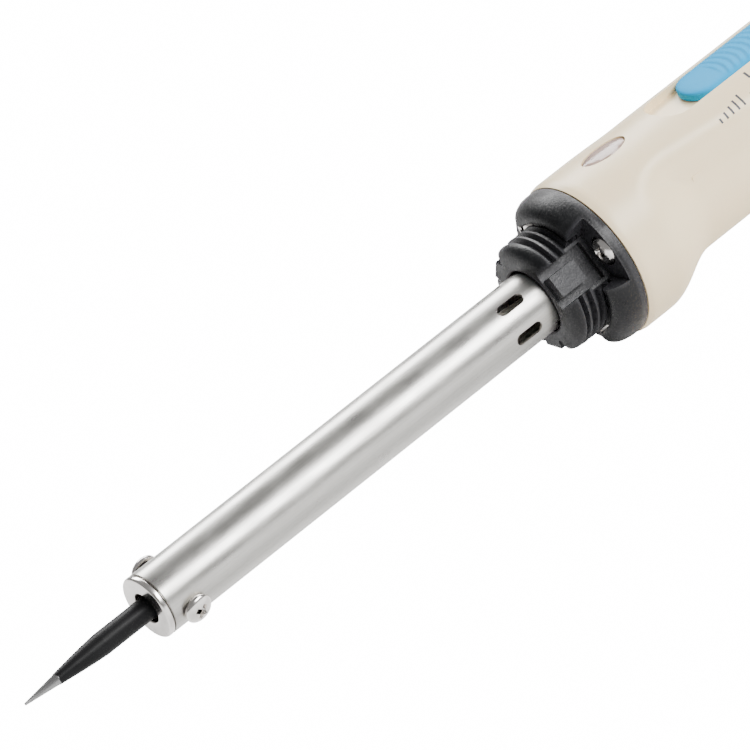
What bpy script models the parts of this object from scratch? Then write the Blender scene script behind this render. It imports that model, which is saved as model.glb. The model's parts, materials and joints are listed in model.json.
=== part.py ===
"""A mains soldering iron with a temperature slider, lying on its handle.

The barrel's axis runs along X, tip towards -X and handle towards +X, with the slider on top (+Z).
Lengths are in millimetres until they reach a mesh. Along the axis they are counted from the
rim, the plane where the black nose collar meets the handle. Angles round the axis are counted
from the top and grow towards -Y.
"""

from math import atan2, cos, hypot, pi, radians, sin, tan

import bmesh
import bpy
from mathutils import Matrix, Vector

MM = 0.001
GAP = 0.3  # clearance between neighbouring pieces
REACH = 1.0  # how far a cutter runs past the surface it cuts

# Tip and barrel
BARREL_R = 6.0
BARREL_WALL = 0.45
EXPOSED_BARREL = 89.8
CAP_THICK = 1.05
CAP_ROUND = 0.5
TIP_R = 2.1
TIP_OUT = 27.35
TIP_CONE = 7.1
TIP_TAPER = 10.0
TIP_CONE_R = 1.1
TIP_POINT_R = 0.25
TIP_BACK = -60.0
TIP_SCREW_SETBACK = 4.4
TIP_SCREW_TURNS = (-70, 110)
VENT_LENGTH = 5.8
VENT_WIDTH = 2.1
VENT_SETBACK = 6.4
VENT_TURN = 36.4

# Nose collar
COLLAR_LENGTH = 12.9
FLANGE_R = 15.05
FLANGE_THICK = 6.0
THREAD_R = 10.9
THREAD_PITCH = 1.75
THREAD_DEPTH = 1.15
LIP_R = 7.65
NECK_R = 9.7
WINDOW_GAP = 7.4  # between the thread's ends, across each window
PILLAR_WIDTH = 4.1
PILLAR_LENGTH = 5.8
PILLAR_SETBACK = 0.5
PILLAR_R = 9.7
THREAD_BACK = -4.05  # the crest nearest the flange
NOTCH_HALF_ANGLE = 26.3
NOTCH_FLOOR = -2.2
SCREW_SEAT = -1.2
SLEEVE_R = 7.4
NOSE_SCREW_PITCH_R = 12.0
NOSE_SCREW_TURN = 60

# Handle
HANDLE_LENGTH = 118.0
GUARD_R = 15.5
SPINE_R = 15.3
GRIP_R = 11.3
PALM_R = 15.7
REST_HEIGHT = 15.15  # axis above the table; the guard and the palm are flat below it
SCOOP_START = 7.3
SCOOP_ANGLE = 27
SCOOP_LENGTH = 13.0  # of the slope down from the guard
SCOOP_WIDTH = 10.0  # of the slope down from the spine
SCOOP_CORNER = 0.75  # as a part of either slope
WINDOW_S = 11.5
WINDOW_LENGTH = 9.2
WINDOW_WIDTH = 4.4

# Temperature slider
KNOB_FRONT = 30.8
KNOB_LENGTH = 36.0
KNOB_WIDTH = 9.2
FORWARD_TRAVEL = 5.0
REAR_TRAVEL = 10.0
TROUGH_FLOOR = 13.0
TROUGH_WIDTH = 9.9
TROUGH_SLOPE = 2.4
TROUGH_FRONT = 23.2
TROUGH_CORNER = 4.7

# Plates and board inside
BOARD_TOP = 4.8
BOARD_THICK = 1.6
BOARD_WIDTH = 15.0
CHANNEL_TOP = 12.3
BUSH_OUT = 3.0
CORD_HOLE_R = 3.4

COLLAR_FRONT = -COLLAR_LENGTH
BARREL_FRONT = COLLAR_FRONT - EXPOSED_BARREL
CAP_BACK = BARREL_FRONT - GAP
CAP_FRONT = CAP_BACK - CAP_THICK
TIP_POINT = CAP_FRONT - TIP_OUT
IRON_END = HANDLE_LENGTH + BUSH_OUT
RIM_X = -(TIP_POINT + IRON_END) / 2
TIP_SCREW_S = BARREL_FRONT + TIP_SCREW_SETBACK
VENT_S = COLLAR_FRONT - VENT_SETBACK
KNOB_MID = KNOB_FRONT + KNOB_LENGTH / 2


def clear_scene():
    for obj in list(bpy.data.objects):
        bpy.data.objects.remove(obj)


def new_collection(name):
    made = bpy.data.collections.new(name)
    bpy.context.scene.collection.children.link(made)
    return made


def material(name, colour, roughness, metallic=0.0, alpha=1.0):
    made = bpy.data.materials.new(name)
    made.use_nodes = True
    shader = made.node_tree.nodes["Principled BSDF"]
    shader.inputs["Base Color"].default_value = (*colour, 1.0)
    shader.inputs["Roughness"].default_value = roughness
    shader.inputs["Metallic"].default_value = metallic
    shader.inputs["Alpha"].default_value = alpha
    return made


clear_scene()
IRON = new_collection("soldering_iron")
CUTTERS = new_collection("cutters")

STEEL = material("satin_steel", (0.55, 0.54, 0.52), 0.35, 1.0)
NICKEL = material("bright_nickel", (0.78, 0.77, 0.75), 0.15, 1.0)
TIP_METAL = material("black_tip_plating", (0.03, 0.03, 0.03), 0.4, 0.6)
BLACK_PLASTIC = material("black_plastic", (0.015, 0.015, 0.017), 0.45)
CREAM_PLASTIC = material("cream_plastic", (0.74, 0.69, 0.60), 0.35)
BLUE_PLASTIC = material("blue_plastic", (0.06, 0.45, 0.88), 0.35)
CLEAR_PLASTIC = material("clear_lens", (0.95, 0.88, 0.86), 0.1, 0.0, 0.5)
CERAMIC = material("heater_ceramic", (0.85, 0.83, 0.78), 0.6)
MICA = material("mica_paper", (0.55, 0.50, 0.38), 0.5)
WIRE = material("heater_wire", (0.45, 0.42, 0.40), 0.35, 1.0)
SILICONE = material("silicone_sleeving", (0.75, 0.72, 0.66), 0.6)
FIBRE = material("fibre_plate", (0.35, 0.16, 0.08), 0.7)
BOARD_GREEN = material("circuit_board", (0.03, 0.20, 0.09), 0.4)
BODY_DARK = material("component_body", (0.05, 0.05, 0.05), 0.5)
TIN = material("tinned_metal", (0.70, 0.70, 0.70), 0.3, 1.0)
LAMP_GLASS = material("lamp_glass", (0.95, 0.55, 0.35), 0.1, 0.0, 0.5)
RUBBER = material("black_rubber", (0.02, 0.02, 0.02), 0.7)


def empty(name, parent=None, location=(0, 0, 0)):
    made = bpy.data.objects.new(name, None)
    made.location = [value * MM for value in location]
    made.parent = parent
    IRON.objects.link(made)
    return made


# The empty stands on the barrel's axis at the rim, so everything under it counts from there.
AXIS = empty("iron_axis", None, (RIM_X, 0, REST_HEIGHT))
CARRIAGE = empty("slider_carriage", AXIS, (KNOB_MID, 0, TROUGH_FLOOR))


def add(name, mesh, finish=None, parent=AXIS, location=(0, 0, 0), rotation=(0, 0, 0)):
    """An object of the iron, or a cutter when it has no finish."""
    made = bpy.data.objects.new(name, mesh)
    made.parent = parent
    made.location = [value * MM for value in location]
    made.rotation_euler = rotation
    if finish is None:
        CUTTERS.objects.link(made)
        made.hide_render = True
        made.display_type = "WIRE"
        return made
    IRON.objects.link(made)
    if not mesh.materials:
        mesh.materials.append(finish)
    return made


def mesh_from(work, name):
    mesh = bpy.data.meshes.new(name)
    bmesh.ops.recalc_face_normals(work, faces=work.faces[:])
    work.to_mesh(mesh)
    work.free()
    return mesh


def box_mesh(name, size):
    work = bmesh.new()
    bmesh.ops.create_cube(work, size=1.0)
    bmesh.ops.scale(work, vec=Vector(size) * MM, verts=work.verts[:])
    return mesh_from(work, name)


def box(name, centre, size, finish=None, parent=AXIS, turn=0):
    """A box given in the axis frame, then turned round the axis."""
    angle = radians(turn)
    spot = Matrix.Rotation(angle, 3, "X") @ Vector(centre)
    return add(name, box_mesh(name, size), finish, parent, spot, (angle, 0, 0))


def rod_mesh(name, radius, length, segments, front_radius=None):
    """A rod along X, its middle at the origin."""
    work = bmesh.new()
    bmesh.ops.create_cone(
        work,
        cap_ends=True,
        segments=segments,
        radius1=(front_radius or radius) * MM,
        radius2=radius * MM,
        depth=length * MM,
    )
    bmesh.ops.rotate(work, matrix=Matrix.Rotation(pi / 2, 3, "Y"), verts=work.verts[:])
    return mesh_from(work, name)


def rod(name, start, end, centre, radius, segments=16, finish=None, turn=0):
    """A rod along X from start to end, with its middle line at centre (y, z) before the turn."""
    angle = radians(turn)
    middle = Vector(((start + end) / 2, *centre))
    spot = Matrix.Rotation(angle, 3, "X") @ middle
    mesh = rod_mesh(name, radius, end - start, segments)
    return add(name, mesh, finish, AXIS, spot, (angle, 0, 0))


def radial_rod(name, s, inner, outer, radius, turn, segments=16):
    """A cutter that points away from the axis."""
    work = bmesh.new()
    bmesh.ops.create_cone(
        work,
        cap_ends=True,
        segments=segments,
        radius1=radius * MM,
        radius2=radius * MM,
        depth=(outer - inner) * MM,
    )
    bmesh.ops.translate(work, vec=(0, 0, (inner + outer) / 2 * MM), verts=work.verts[:])
    mesh = mesh_from(work, name)
    return add(name, mesh, None, AXIS, (s, 0, 0), (radians(turn), 0, 0))


def profile_mesh(name, points):
    """The outline of a turned piece: (radius, s) points, down its outer side from the rear."""
    work = bmesh.new()
    verts = [work.verts.new((radius * MM, 0, s * MM)) for radius, s in points]
    for first, second in zip(verts, verts[1:]):
        work.edges.new((first, second))
    if points[0][0] > 0:
        work.edges.new((verts[-1], verts[0]))
    mesh = bpy.data.meshes.new(name)
    work.to_mesh(mesh)
    work.free()
    return mesh


def spin_modifier(obj, segments):
    spin = obj.modifiers.new("turn", "SCREW")
    spin.axis = "Z"
    spin.steps = segments
    spin.render_steps = segments
    spin.use_merge_vertices = True
    spin.merge_threshold = 0.000001


def turned(name, points, finish=None, segments=32, parent=AXIS):
    """A turned piece on the axis. Its own Z is laid along X."""
    made = add(name, profile_mesh(name, points), finish, parent, (0, 0, 0), (0, pi / 2, 0))
    spin_modifier(made, segments)
    return made


def ring(name, front, back, inner, outer, finish=None, segments=24):
    outline = [(outer, back), (outer, front), (inner, front), (inner, back)]
    return turned(name, outline, finish, segments)


def boolean(target, other, operation):
    step = target.modifiers.new(f"{operation.lower()}_{other.name}", "BOOLEAN")
    step.operation = operation
    step.object = other


def cut(target, *cutters):
    for cutter in cutters:
        boolean(target, cutter, "DIFFERENCE")


def join(target, *pieces):
    for piece in pieces:
        boolean(target, piece, "UNION")


def arc(centre, radii, start, end, steps):
    """Points on an ellipse arc in (radius, s), by angle in degrees."""
    points = []
    for i in range(steps + 1):
        angle = radians(start + (end - start) * i / steps)
        points.append((centre[0] + radii[0] * cos(angle), centre[1] + radii[1] * sin(angle)))
    return points


def smooth(value):
    clamped = min(max(value, 0.0), 1.0)
    return clamped * clamped * (3 - 2 * clamped)


def baked_mesh(obj):
    """The evaluated mesh of an object that only served to shape it."""
    bpy.context.view_layer.update()
    graph = bpy.context.evaluated_depsgraph_get()
    mesh = bpy.data.meshes.new_from_object(obj.evaluated_get(graph))
    mesh.name = obj.name
    return mesh


def screw_mesh(name, head_r, head_height, shank_r, shank_length, cross):
    """A pan-head screw with a cross recess, standing on Z with its seat at the origin."""
    dome = arc((0, head_height * 0.35), (head_r, head_height * 0.65), 90, 0, 4)
    dome[0] = (0, head_height)
    shank = [(head_r * 0.96, 0), (shank_r, 0), (shank_r, 0.6 - shank_length)]
    outline = dome + shank + [(shank_r - 0.45, -shank_length), (0, -shank_length)]
    blank = bpy.data.objects.new(name, profile_mesh(name, outline))
    CUTTERS.objects.link(blank)
    spin_modifier(blank, 16)
    arms = []
    for size in ((cross, 0.7, 2), (0.7, cross, 2)):
        arm = bpy.data.objects.new("recess_arm", box_mesh("recess_arm", size))
        arm.location = (0, 0, (head_height - 1.0 + 1) * MM)
        CUTTERS.objects.link(arm)
        cut(blank, arm)
        arms.append(arm)
    mesh = baked_mesh(blank)
    for used in (blank, *arms):
        bpy.data.objects.remove(used)
    return mesh


def tip():
    """Solid rod: tinned cone, black taper, and a plain shank that runs into the heater."""
    cone_back = TIP_POINT + TIP_CONE
    outline = [(0, TIP_BACK), (TIP_R - 0.4, TIP_BACK), (TIP_R, TIP_BACK - 0.4)]
    for along, out in ((1.0, 1.0), (0.7, 0.77), (0.4, 0.46), (0.0, 0.0)):  # a convex taper
        radius = TIP_CONE_R + (TIP_R - TIP_CONE_R) * out
        outline.append((radius, cone_back + TIP_TAPER * along))
    outline += [(TIP_POINT_R, TIP_POINT + TIP_POINT_R / 2), (0, TIP_POINT)]
    turned("soldering_tip", outline, TIP_METAL, 24)


def end_cap():
    """Nickel plug that closes the barrel and guides the tip. The tip screws pass through it."""
    plug_r = BARREL_R - BARREL_WALL - GAP
    plug_back = TIP_SCREW_S + 4.6
    mouth_r = 2.9
    outline = [(plug_r, plug_back), (plug_r, CAP_BACK), (BARREL_R, CAP_BACK)]
    outline += arc((BARREL_R - CAP_ROUND, CAP_FRONT + CAP_ROUND), (CAP_ROUND, CAP_ROUND), 0, -90, 4)
    outline += [(mouth_r, CAP_FRONT), (mouth_r, CAP_FRONT + 3.4)]
    outline += [(TIP_R + 0.35, CAP_FRONT + 3.4), (TIP_R + 0.35, plug_back)]
    cap = turned("barrel_end_cap", outline, NICKEL, 32)
    for i, turn in enumerate(TIP_SCREW_TURNS):
        cut(cap, radial_rod(f"cap_screw_hole_{i + 1}", TIP_SCREW_S, 1.0, 7.0, 1.85, turn, 12))


def tip_screws():
    """Two pan-head screws, face to face, through the barrel and the end cap, onto the tip."""
    seat = BARREL_R + 0.35
    mesh = screw_mesh("tip_screw", 2.72, 1.6, 1.5, seat - TIP_R - 0.35, 3.5)
    for i, turn in enumerate(TIP_SCREW_TURNS):
        angle = radians(turn)
        spot = Matrix.Rotation(angle, 3, "X") @ Vector((TIP_SCREW_S, 0, seat))
        add(f"tip_screw_{i + 1}", mesh, NICKEL, AXIS, spot, (angle, 0, 0))


def vent_cutter(name, turn):
    """A slot with round ends, pointing away from the axis."""
    half = (VENT_LENGTH - VENT_WIDTH) / 2 * MM
    curve = bpy.data.curves.new(name, "CURVE")
    curve.dimensions = "2D"
    curve.fill_mode = "BOTH"
    curve.extrude = 1.5 * MM
    line = curve.splines.new("POLY")
    ends = [(half, -pi / 2), (-half, pi / 2)]
    points = []
    for middle, start in ends:
        for i in range(7):
            angle = start + pi * i / 6
            radius = VENT_WIDTH / 2 * MM
            points.append((middle + radius * cos(angle), radius * sin(angle)))
    line.points.add(len(points) - 1)
    for point, (x, y) in zip(line.points, points):
        point.co = (x, y, 0, 1)
    line.use_cyclic_u = True
    guide = bpy.data.objects.new(name, curve)
    CUTTERS.objects.link(guide)
    mesh = baked_mesh(guide)
    bpy.data.objects.remove(guide)
    work = bmesh.new()
    work.from_mesh(mesh)
    bmesh.ops.remove_doubles(work, verts=work.verts[:], dist=0.00001)
    bmesh.ops.translate(work, vec=(0, 0, BARREL_R * MM), verts=work.verts[:])
    cutter = mesh_from(work, name)
    return add(name, cutter, None, AXIS, (VENT_S, 0, 0), (radians(turn), 0, 0))


def barrel():
    """Thin steel tube with six vents, two screw holes and a flared rear end."""
    inner = BARREL_R - BARREL_WALL
    flare_r = 8.6
    flare_back = 1.0
    flare_front = GAP
    outline = [(flare_r, flare_back), (flare_r, flare_front), (BARREL_R, flare_front)]
    outline += [(BARREL_R, BARREL_FRONT), (inner, BARREL_FRONT), (inner, flare_back)]
    tube = turned("barrel_tube", outline, STEEL, 40)
    for i, turn in enumerate(TIP_SCREW_TURNS):
        cut(tube, radial_rod(f"barrel_screw_hole_{i + 1}", TIP_SCREW_S, 4.0, 7.0, 1.85, turn, 12))
    for i in range(6):
        cut(tube, vent_cutter(f"vent_{i + 1}", VENT_TURN + 60 * i))


HEATER_FRONT = TIP_SCREW_S + 6.0
HEATER_BACK = -30.0


def heater():
    """Ceramic core round the tip, resistance winding on it, mica round that, and a rear spacer."""
    ring("heater_core", HEATER_FRONT, HEATER_BACK, TIP_R + 0.35, 3.3, CERAMIC, 20)
    winding()
    ring("mica_sleeve", HEATER_FRONT, HEATER_BACK - 1, 4.5, 4.8, MICA, 20)
    spacer = ring("heater_spacer", HEATER_BACK + GAP, HEATER_BACK + 4, 1.5, 5.2, CERAMIC, 20)
    for i, side in enumerate((-1, 1)):
        hole = rod(f"lead_hole_{i + 1}", HEATER_BACK - 1, HEATER_BACK + 6, (side * 3.4, 0), 1.0, 10)
        cut(spacer, hole)


def wire(name, points, radius, finish):
    """A wire through the points, in millimetres in the axis frame."""
    curve = bpy.data.curves.new(name, "CURVE")
    curve.dimensions = "3D"
    curve.bevel_depth = radius * MM
    curve.bevel_resolution = 2
    curve.use_fill_caps = True
    line = curve.splines.new("POLY")
    line.points.add(len(points) - 1)
    for point, spot in zip(line.points, points):
        point.co = (*(value * MM for value in spot), 1)
    made = bpy.data.objects.new(name, curve)
    made.parent = AXIS
    IRON.objects.link(made)
    curve.materials.append(finish)


def winding():
    turns = 10
    per_turn = 8
    start = HEATER_FRONT + 3
    length = HEATER_BACK - 4 - start
    points = []
    for i in range(turns * per_turn + 1):
        angle = 2 * pi * i / per_turn
        s = start + length * i / (turns * per_turn)
        points.append((s, 3.95 * cos(angle), 3.95 * sin(angle)))
    wire("heater_winding", points, 0.3, WIRE)


def eased(start, end, steps):
    """Points from one spot to another that leave and arrive along the axis."""
    points = []
    for i in range(steps + 1):
        part = i / steps
        bend = smooth(part)
        side = [a + (b - a) * bend for a, b in zip(start[1:], end[1:])]
        points.append((start[0] + (end[0] - start[0]) * part, *side))
    return points


def heater_leads():
    """Two sleeved leads from the winding, through the spacer and the plate, to the board."""
    for name, side in (("heater_lead_live", -1), ("heater_lead_neutral", 1)):
        start = (HEATER_BACK + 5, side * 3.4, 0)
        bend = (8, side * 3.0, -2.0)
        end = (24, side * 5.2, -3.5)
        route = eased(start, bend, 8) + eased(bend, end, 6)[1:]
        wire(name, route, 0.75, SILICONE)


def collar_profile():
    """Outer side from the rim to the front lip, then the bore back to the rim."""
    dome_r = 3.05
    dome_back = -1.2
    points = [(FLANGE_R, -GAP / 2)]
    points += arc((FLANGE_R - dome_r, dome_back), (dome_r, FLANGE_THICK + dome_back), 0, -90, 6)
    points += [(FLANGE_R - dome_r - 0.6, 0.4 - FLANGE_THICK), (THREAD_R + 0.3, THREAD_BACK + 0.7)]
    points += [(NECK_R, THREAD_BACK + 1.0)]
    for i in range(4):
        s = THREAD_BACK - THREAD_PITCH * i
        points += [(THREAD_R, s + 0.25), (THREAD_R, s - 0.25)]
        points += [(THREAD_R - THREAD_DEPTH, s - THREAD_PITCH / 2)]
    shoulder = THREAD_BACK - THREAD_PITCH * 4
    nose = THREAD_R - 0.1 - LIP_R
    depth = COLLAR_LENGTH + shoulder + 0.25
    points += arc((LIP_R, shoulder + 0.25), (nose, depth), 0, -90, 5)
    bore = BARREL_R + GAP
    return points + [(bore, COLLAR_FRONT + 0.6), (bore, -GAP / 2)]


def notch_cutter(name, turn):
    """A fan-shaped block that opens the flange to the outside round one nose screw."""
    inner = NECK_R - 1.1
    outer = FLANGE_R + 2
    front = -FLANGE_THICK - REACH
    work = bmesh.new()
    bmesh.ops.create_cube(work, size=1.0)
    slope = tan(radians(NOTCH_HALF_ANGLE))
    for vert in work.verts:
        radius = outer if vert.co.z > 0 else inner
        s = NOTCH_FLOOR if vert.co.x > 0 else front
        vert.co = Vector((s, 2 * vert.co.y * radius * slope, radius)) * MM
    return add(name, mesh_from(work, name), None, AXIS, (0, 0, 0), (radians(turn), 0, 0))


def collar_cutters(turn, number):
    """Window through the thread, notch in the flange, seat and hole for one nose screw."""
    outward = FLANGE_R + 2
    back = THREAD_BACK + 0.9
    front = COLLAR_FRONT - REACH
    size = (back - front, WINDOW_GAP, outward - SLEEVE_R)
    spot = ((front + back) / 2, 0, (outward + SLEEVE_R) / 2)
    window = box(f"thread_window_{number}", spot, size, None, AXIS, turn)
    notch = notch_cutter(f"flange_notch_{number}", turn)
    screw_line = (0, NOSE_SCREW_PITCH_R)
    seat = rod(f"screw_seat_{number}", -5, SCREW_SEAT, screw_line, 2.85, 16, None, turn)
    hole = rod(f"collar_hole_{number}", -4, 2, screw_line, 1.4, 12, None, turn)
    return window, notch, seat, hole


def nose_collar():
    """Black moulding: domed flange, interrupted thread, three pillars and the barrel's socket."""
    collar = turned("nose_collar", collar_profile(), BLACK_PLASTIC, 42)
    for i in range(3):
        turn = NOSE_SCREW_TURN + 120 * i
        cut(collar, *collar_cutters(turn, i + 1))
        base = SLEEVE_R - 0.4
        spot = (COLLAR_FRONT + PILLAR_SETBACK + PILLAR_LENGTH / 2, 0, (PILLAR_R + base) / 2)
        size = (PILLAR_LENGTH, PILLAR_WIDTH, PILLAR_R - base)
        join(collar, box(f"pillar_{i + 1}", spot, size, None, AXIS, turn))


def nose_screws():
    seat = SCREW_SEAT - GAP
    mesh = screw_mesh("nose_screw", 2.65, 1.7, 1.1, 9.0, 3.2)
    for i in range(3):
        angle = radians(NOSE_SCREW_TURN + 120 * i)
        spot = Matrix.Rotation(angle, 3, "X") @ Vector((seat, 0, NOSE_SCREW_PITCH_R))
        turn = Matrix.Rotation(angle, 3, "X") @ Matrix.Rotation(-pi / 2, 3, "Y")
        add(f"nose_screw_{i + 1}", mesh, NICKEL, AXIS, spot, turn.to_euler())


PLATE_FRONT = 1.3
PLATE_BACK = 2.3
PLATE_R = 13.7


def mounting_plate():
    """Fibre plate that the nose screws clamp against the barrel's flared end."""
    plate = ring("mounting_plate", PLATE_FRONT, PLATE_BACK, 4.6, PLATE_R, FIBRE, 32)
    for i in range(3):
        turn = NOSE_SCREW_TURN + 120 * i
        cut(plate, rod(f"plate_hole_{i + 1}", 0, 4, (0, NOSE_SCREW_PITCH_R), 1.5, 12, None, turn))


def scoop_depth(s, angle):
    """0 on the guard and the spine, 1 down in the grip, with a rounded corner between them."""
    widening = radians(0.6) * max(s - 18, 0)
    along = (s - SCOOP_START) / SCOOP_LENGTH
    across = (abs(angle) - radians(SCOOP_ANGLE) - widening) * SPINE_R / SCOOP_WIDTH
    inside = min(along, across)
    if max(along, across) < SCOOP_CORNER:
        inside = SCOOP_CORNER - hypot(SCOOP_CORNER - along, SCOOP_CORNER - across)
    return smooth(inside)


def handle_radius(s, angle):
    """Outer radius of the handle at s, at an angle from the top."""
    spine = GUARD_R + (SPINE_R - GUARD_R) * smooth((s - 8) / 12)
    spine += (PALM_R - SPINE_R) * smooth((s - 60) / 30)
    grip = GRIP_R + (PALM_R - GRIP_R) * smooth((s - 44) / 46)
    radius = spine + (min(grip, spine) - spine) * scoop_depth(s, angle)
    tail = max(s - (HANDLE_LENGTH - 12), 0) / 12
    radius -= 5.5 * (1 - (1 - tail**2.4) ** 0.5)
    edge = max(1.0 - (s - GAP / 2), 0)
    return radius - 0.4 * edge


def handle_blank():
    """The handle's outer form: a cylinder cut into stations, then pushed to its radius."""
    front = GAP / 2
    length = HANDLE_LENGTH - front
    work = bmesh.new()
    bmesh.ops.create_cone(
        work, cap_ends=True, segments=48, radius1=GUARD_R, radius2=GUARD_R, depth=length
    )
    bmesh.ops.rotate(work, matrix=Matrix.Rotation(pi / 2, 3, "Y"), verts=work.verts[:])
    bmesh.ops.translate(work, vec=(front + length / 2, 0, 0), verts=work.verts[:])
    stations = [1.0, 5, 9, 11, 12.8, 14.5, 16.2, 18, 20, 23, 34, 45, 54, 62, 70, 78, 87]
    stations += [96, 105, 108.5, 111.5, 114, 116, 117.2]
    for s in stations:
        geometry = work.verts[:] + work.edges[:] + work.faces[:]
        bmesh.ops.bisect_plane(work, geom=geometry, plane_co=(s, 0, 0), plane_no=(1, 0, 0))
    for vert in work.verts:
        angle = atan2(-vert.co.y, vert.co.z)
        radius = handle_radius(vert.co.x, angle)
        height = max(radius * cos(angle), -REST_HEIGHT)
        vert.co = Vector((vert.co.x, -radius * sin(angle), height)) * MM
    return mesh_from(work, "handle_shell")


def handle_cavity():
    """Room inside the handle, from the mouth to the cord inlet."""
    outline = [(CORD_HOLE_R + 1.9, IRON_END + REACH), (CORD_HOLE_R + 1.9, 112), (10.5, 109)]
    outline += [(12.4, 105), (12.4, 88), (9.3, 52), (9.3, 15), (PLATE_R + GAP, 8)]
    outline += [(PLATE_R + GAP, -REACH), (0, -REACH)]
    outline.insert(0, (0, IRON_END + REACH))
    return turned("handle_cavity", outline, None, 32)


def window_mesh(name, grow, low, high):
    """An oval plug on Z."""
    work = bmesh.new()
    bmesh.ops.create_cone(
        work, cap_ends=True, segments=20, radius1=0.5 * MM, radius2=0.5 * MM, depth=(high - low) * MM
    )
    size = (WINDOW_LENGTH + grow, WINDOW_WIDTH + grow, 1)
    bmesh.ops.scale(work, vec=size, verts=work.verts[:])
    bmesh.ops.translate(work, vec=(0, 0, (low + high) / 2 * MM), verts=work.verts[:])
    return mesh_from(work, name)


def trough_cutter():
    """The slider's trough: round in front, where its floor slopes up to the surface."""
    front = TROUGH_FRONT
    back = KNOB_FRONT + KNOB_LENGTH + REAR_TRAVEL + 0.6
    height = SPINE_R - TROUGH_FLOOR + REACH
    work = bmesh.new()
    bmesh.ops.create_cube(work, size=1.0)
    bmesh.ops.scale(work, vec=(back - front, TROUGH_WIDTH, height), verts=work.verts[:])
    middle = ((back + front) / 2, 0, TROUGH_FLOOR + height / 2)
    bmesh.ops.translate(work, vec=middle, verts=work.verts[:])
    corners = [
        e for e in work.edges
        if max(v.co.x for v in e.verts) < front + 0.01 and abs(e.verts[0].co.z - e.verts[1].co.z) > 0.1
    ]
    bmesh.ops.bevel(
        work, geom=corners, offset=TROUGH_CORNER, segments=6, affect="EDGES", profile=0.5, material=-1
    )
    geometry = work.verts[:] + work.edges[:] + work.faces[:]
    slope_back = front + TROUGH_SLOPE
    bmesh.ops.bisect_plane(work, geom=geometry, plane_co=(slope_back, 0, 0), plane_no=(1, 0, 0))
    for vert in work.verts:
        if vert.co.x < slope_back and vert.co.z < TROUGH_FLOOR + 0.1:
            vert.co.z += (SPINE_R - 0.35 - TROUGH_FLOOR) * (slope_back - vert.co.x) / TROUGH_SLOPE
    bmesh.ops.scale(work, vec=(MM, MM, MM), verts=work.verts[:])
    return add("slider_trough", mesh_from(work, "slider_trough"))


POST_LENGTH = 5.0
POST_WIDTH = 3.0


def floor_slot():
    """Slot in the trough's floor for the knob's post."""
    start = KNOB_MID - FORWARD_TRAVEL - POST_LENGTH / 2 - 0.4
    end = KNOB_MID + REAR_TRAVEL + POST_LENGTH / 2 + 0.4
    size = (end - start, POST_WIDTH + 0.8, 4)
    return box("slider_slot", ((start + end) / 2, 0, TROUGH_FLOOR - 0.8), size)


def handle():
    shell = add("handle_shell", handle_blank(), CREAM_PLASTIC)
    channel_size = (66, 9.4, CHANNEL_TOP)
    channel = box("pot_channel", (20 + channel_size[0] / 2, 0, CHANNEL_TOP / 2), channel_size)
    window = add("window_hole", window_mesh("window_hole", 2 * GAP, 8, 20), None, AXIS, (WINDOW_S, 0, 0))
    cut(shell, handle_cavity(), channel, trough_cutter(), floor_slot(), window)
    for i in range(3):
        turn = NOSE_SCREW_TURN + 120 * i
        spot = (0, NOSE_SCREW_PITCH_R)
        start = PLATE_BACK + GAP
        join(shell, rod(f"screw_boss_{i + 1}", start, 9.5, spot, 2.6, 14, None, turn))
        cut(shell, rod(f"boss_hole_{i + 1}", 0, 8.4, spot, 1.4, 10, None, turn))
    for side in (-1, 1):
        for height in (BOARD_TOP + GAP + 0.6, BOARD_TOP - BOARD_THICK - GAP - 0.6):
            spot = (58, side * 8.6, height)
            join(shell, box(f"board_rail_{side}_{height:.0f}", spot, (76, 3.0, 1.2)))


def lens():
    """Clear oval plug in the handle, over the lamp."""
    mesh = window_mesh("indicator_lens", 0, 12.6, GUARD_R)
    add("indicator_lens", mesh, CLEAR_PLASTIC, AXIS, (WINDOW_S, 0, 0))


def lamp():
    outline = [(0, WINDOW_S + 4.5), (1.4, WINDOW_S + 4.0), (1.9, WINDOW_S + 3)]
    outline += [(1.9, WINDOW_S - 4.5), (0, WINDOW_S - 4.5)]
    made = turned("indicator_lamp", outline, LAMP_GLASS, 14)
    made.location = (0, 0, 8.6 * MM)


def knob_mesh():
    """Long thumb slider: crowned on top, round in front and behind, with a post below."""
    work = bmesh.new()
    bmesh.ops.create_cube(work, size=1.0)
    height = 1.95
    low = GAP
    bmesh.ops.scale(work, vec=(KNOB_LENGTH, KNOB_WIDTH, height), verts=work.verts[:])
    bmesh.ops.translate(work, vec=(0, 0, low + height / 2), verts=work.verts[:])
    upright = [e for e in work.edges if abs(e.verts[0].co.z - e.verts[1].co.z) > 0.1]
    bmesh.ops.bevel(
        work, geom=upright, offset=4.2, segments=5, affect="EDGES", profile=0.5, material=-1
    )
    top = [e for e in work.edges if min(v.co.z for v in e.verts) > low + height - 0.01]
    bmesh.ops.bevel(
        work, geom=top, offset=0.9, segments=2, affect="EDGES", profile=0.5, material=-1
    )
    bmesh.ops.scale(work, vec=(MM, MM, MM), verts=work.verts[:])
    return mesh_from(work, "slider_knob")


LEVER = (3.0, 1.2)
POT_TOP = 11.4


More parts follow.
